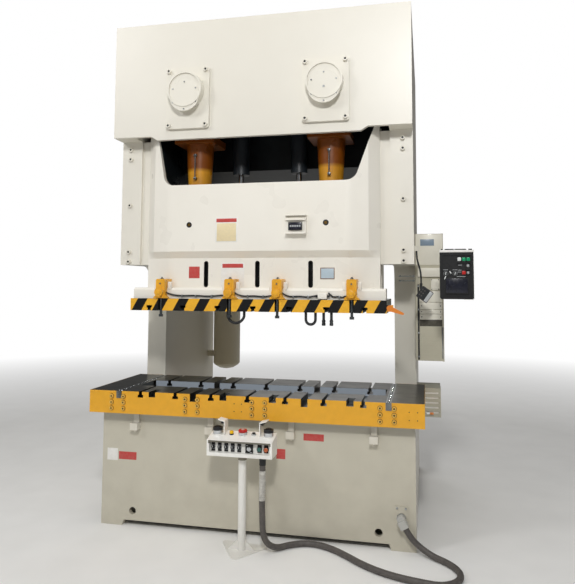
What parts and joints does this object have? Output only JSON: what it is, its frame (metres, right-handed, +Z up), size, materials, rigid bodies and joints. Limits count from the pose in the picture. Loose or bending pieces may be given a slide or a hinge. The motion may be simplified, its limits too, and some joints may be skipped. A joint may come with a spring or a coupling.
{
  "type": "two-point gap-frame stamping press",
  "caption": "White C-frame mechanical power press with a wide slide on two connecting rods, T-slotted bolster, operator console on a stand and side panels.",
  "frame": {"origin": "floor level, middle of the bolster, in the plane of the two connecting rods", "axes": "+X to the right seen from the front, +Y to the back, +Z up"},
  "size_m": [3.075, 2.9271, 4.719],
  "materials": {
    "white_paint": "satin",
    "steel": "satin",
    "black_steel": "satin",
    "bright_steel": "polished",
    "yellow_paint": "gloss",
    "bronze": "satin",
    "cast_iron": "matte",
    "blue_paint": "satin",
    "rubber": "matte",
    "black_paint": "satin",
    "black_plastic": "matte",
    "red_plastic": "gloss",
    "beige_paint": "satin"
  },
  "bodies": {
    "root": {"side_frame_left": "white_paint", "side_frame_right": "white_paint", "bed_frame": "white_paint", "crown_housing": "white_paint", "slide_gibs": "steel", "frame_screws": "black_steel", "crank_covers": "white_paint", "crank_bearings": "bronze", "drive_motor": "blue_paint", "drive_belts": "rubber", "flywheel_guard": "white_paint", "balancer_cylinders": "black_paint", "bolster_plate": "steel", "bolster_screws": "black_steel", "bolster_brackets": "bright_steel", "hold_down_clamps": "black_steel", "console_stand": "bright_steel", "console_box": "white_paint", "cable_glands": "black_plastic", "main_cable": "rubber", "control_cabinet": "white_paint", "louvred_box": "white_paint", "hand_pendant": "black_plastic", "pendant_cable": "rubber", "air_receiver": "beige_paint"},
    "suspension": {"con_rod_left": "yellow_paint", "con_rod_right": "yellow_paint"},
    "slide": {"slide_body": "white_paint", "die_plate": "yellow_paint", "die_clamps": "yellow_paint", "stroke_counter": "white_paint", "slide_hoses": "rubber", "balancer_rods": "bright_steel"},
    "clamp_rods": {"clamp_rods": "bright_steel"},
    "side_lever": {"side_lever": "yellow_paint"},
    "crank_left": {"crankshaft_left": "steel", "main_gear_left": "steel"},
    "crank_right": {"crankshaft_right": "steel", "main_gear_right": "steel"},
    "pin_left": {"crank_pin_left": "steel"},
    "pin_right": {"crank_pin_right": "steel"},
    "pinion": {"pinion_shaft": "steel"},
    "nut_left": {"adjusting_nut_left": "bronze"},
    "nut_right": {"adjusting_nut_right": "bronze"},
    "flywheel": {"flywheel": "cast_iron"},
    "motor_rotor": {"motor_pulley": "cast_iron"},
    "lifter_left": {"lifter_rail_left": "steel"},
    "lifter_right": {"lifter_rail_right": "steel"},
    "palm_left": {"palm_button_left": "black_plastic"},
    "palm_right": {"palm_button_right": "black_plastic"},
    "stop": {"stop_button": "red_plastic"},
    "reset": {"reset_button": "black_plastic"},
    "panel_arm": {"panel_arm": "bright_steel"},
    "panel": {"panel_box": "white_paint"},
    "door": {"cabinet_door": "white_paint"},
    "selector_1": {"selector_1": "black_plastic"},
    "selector_2": {"selector_2": "black_plastic"},
    "selector_3": {"selector_3": "black_plastic"},
    "selector_4": {"selector_4": "black_plastic"},
    "selector_5": {"selector_5": "black_plastic"}
  },
  "joints": [
    {"name": "slide_stroke", "type": "slide", "parent": "root", "child": "suspension", "axis": [0, 0, 1], "range_m": [-0.2, 0]},
    {"name": "slide_adjust", "type": "slide", "parent": "suspension", "child": "slide", "axis": [0, 0, 1], "range_m": [-0.1, 0]},
    {"name": "crank_left_turn", "type": "hinge", "parent": "root", "child": "crank_left", "pos_m": [-0.591, 0, 3.6], "axis": [0, 1, 0], "range_deg": [0, 180]},
    {"name": "pin_left_turn", "type": "hinge", "parent": "suspension", "child": "pin_left", "pos_m": [-0.591, 0, 3.7], "axis": [0, 1, 0], "range_deg": [0, 180]},
    {"name": "nut_left_turn", "type": "hinge", "parent": "slide", "child": "nut_left", "pos_m": [-0.591, 0, 2.55], "axis": [0, 0, 1], "range_deg": [-3600, 0]},
    {"name": "crank_right_turn", "type": "hinge", "parent": "root", "child": "crank_right", "pos_m": [0.591, 0, 3.6], "axis": [0, 1, 0], "range_deg": [0, 180]},
    {"name": "pin_right_turn", "type": "hinge", "parent": "suspension", "child": "pin_right", "pos_m": [0.591, 0, 3.7], "axis": [0, 1, 0], "range_deg": [0, 180]},
    {"name": "nut_right_turn", "type": "hinge", "parent": "slide", "child": "nut_right", "pos_m": [0.591, 0, 2.55], "axis": [0, 0, 1], "range_deg": [-3600, 0]},
    {"name": "pinion_turn", "type": "hinge", "parent": "root", "child": "pinion", "pos_m": [0, 1, 3.6], "axis": [0, 1, 0], "range_deg": [-720, 0]},
    {"name": "flywheel_turn", "type": "hinge", "parent": "root", "child": "flywheel", "pos_m": [0, 1.9, 3.6], "axis": [0, 1, 0], "continuous": true},
    {"name": "motor_turn", "type": "hinge", "parent": "root", "child": "motor_rotor", "pos_m": [0, 1.9, 4.504], "axis": [0, 1, 0], "continuous": true},
    {"name": "clamp_lift", "type": "slide", "parent": "slide", "child": "clamp_rods", "axis": [0, 0, 1], "range_m": [0, 0.008]},
    {"name": "side_lever_turn", "type": "hinge", "parent": "slide", "child": "side_lever", "pos_m": [1.095, -0.33, 1.79], "axis": [0, 1, 0], "range_deg": [-80, 0]},
    {"name": "lifter_left_rise", "type": "slide", "parent": "root", "child": "lifter_left", "axis": [0, 0, 1], "range_m": [0, 0.002]},
    {"name": "palm_left_press", "type": "slide", "parent": "root", "child": "palm_left", "axis": [0, 0, 1], "range_m": [-0.008, 0], "stiffness_N_per_m": 900, "springref_m": 0.004},
    {"name": "lifter_right_rise", "type": "slide", "parent": "root", "child": "lifter_right", "axis": [0, 0, 1], "range_m": [0, 0.002]},
    {"name": "palm_right_press", "type": "slide", "parent": "root", "child": "palm_right", "axis": [0, 0, 1], "range_m": [-0.008, 0], "stiffness_N_per_m": 900, "springref_m": 0.004},
    {"name": "stop_press", "type": "slide", "parent": "root", "child": "stop", "axis": [0, 0, 1], "range_m": [-0.006, 0], "stiffness_N_per_m": 1200, "springref_m": 0.004},
    {"name": "reset_press", "type": "slide", "parent": "root", "child": "reset", "axis": [0, 0, 1], "range_m": [-0.004, 0], "stiffness_N_per_m": 600, "springref_m": 0.004},
    {"name": "selector_1_turn", "type": "hinge", "parent": "root", "child": "selector_1", "pos_m": [-0.197, -0.66, 0.764], "axis": [0, 1, 0], "range_deg": [-45, 45]},
    {"name": "selector_2_turn", "type": "hinge", "parent": "root", "child": "selector_2", "pos_m": [-0.1465, -0.66, 0.764], "axis": [0, 1, 0], "range_deg": [-45, 45]},
    {"name": "selector_3_turn", "type": "hinge", "parent": "root", "child": "selector_3", "pos_m": [-0.096, -0.66, 0.764], "axis": [0, 1, 0], "range_deg": [-45, 45]},
    {"name": "selector_4_turn", "type": "hinge", "parent": "root", "child": "selector_4", "pos_m": [-0.0455, -0.66, 0.764], "axis": [0, 1, 0], "range_deg": [-45, 45]},
    {"name": "selector_5_turn", "type": "hinge", "parent": "root", "child": "selector_5", "pos_m": [0.005, -0.66, 0.764], "axis": [0, 1, 0], "range_deg": [-45, 45]},
    {"name": "arm_swing", "type": "hinge", "parent": "root", "child": "panel_arm", "pos_m": [1.6, 0.5, 2.04], "axis": [0, 0, 1], "range_deg": [0, 90]},
    {"name": "panel_swivel", "type": "hinge", "parent": "panel_arm", "child": "panel", "pos_m": [1.6, -0.08, 2.04], "axis": [0, 0, 1], "range_deg": [-30, 60]},
    {"name": "door_swing", "type": "hinge", "parent": "root", "child": "door", "pos_m": [1.508, 0.308, 1.868], "axis": [0, 0, 1], "range_deg": [0, 100]}
  ],
  "couplings": [
    {"joint": "crank_left_turn", "follows": "slide_stroke", "rad_per_m": -15.708},
    {"joint": "pin_left_turn", "follows": "slide_stroke", "rad_per_m": -15.708},
    {"joint": "crank_right_turn", "follows": "slide_stroke", "rad_per_m": -15.708},
    {"joint": "pin_right_turn", "follows": "slide_stroke", "rad_per_m": -15.708},
    {"joint": "pinion_turn", "follows": "slide_stroke", "rad_per_m": 62.832},
    {"joint": "nut_left_turn", "follows": "slide_adjust", "rad_per_m": 628.32},
    {"joint": "nut_right_turn", "follows": "slide_adjust", "rad_per_m": 628.32},
    {"joint": "motor_turn", "follows": "flywheel_turn", "ratio": 4.037}
  ]
}
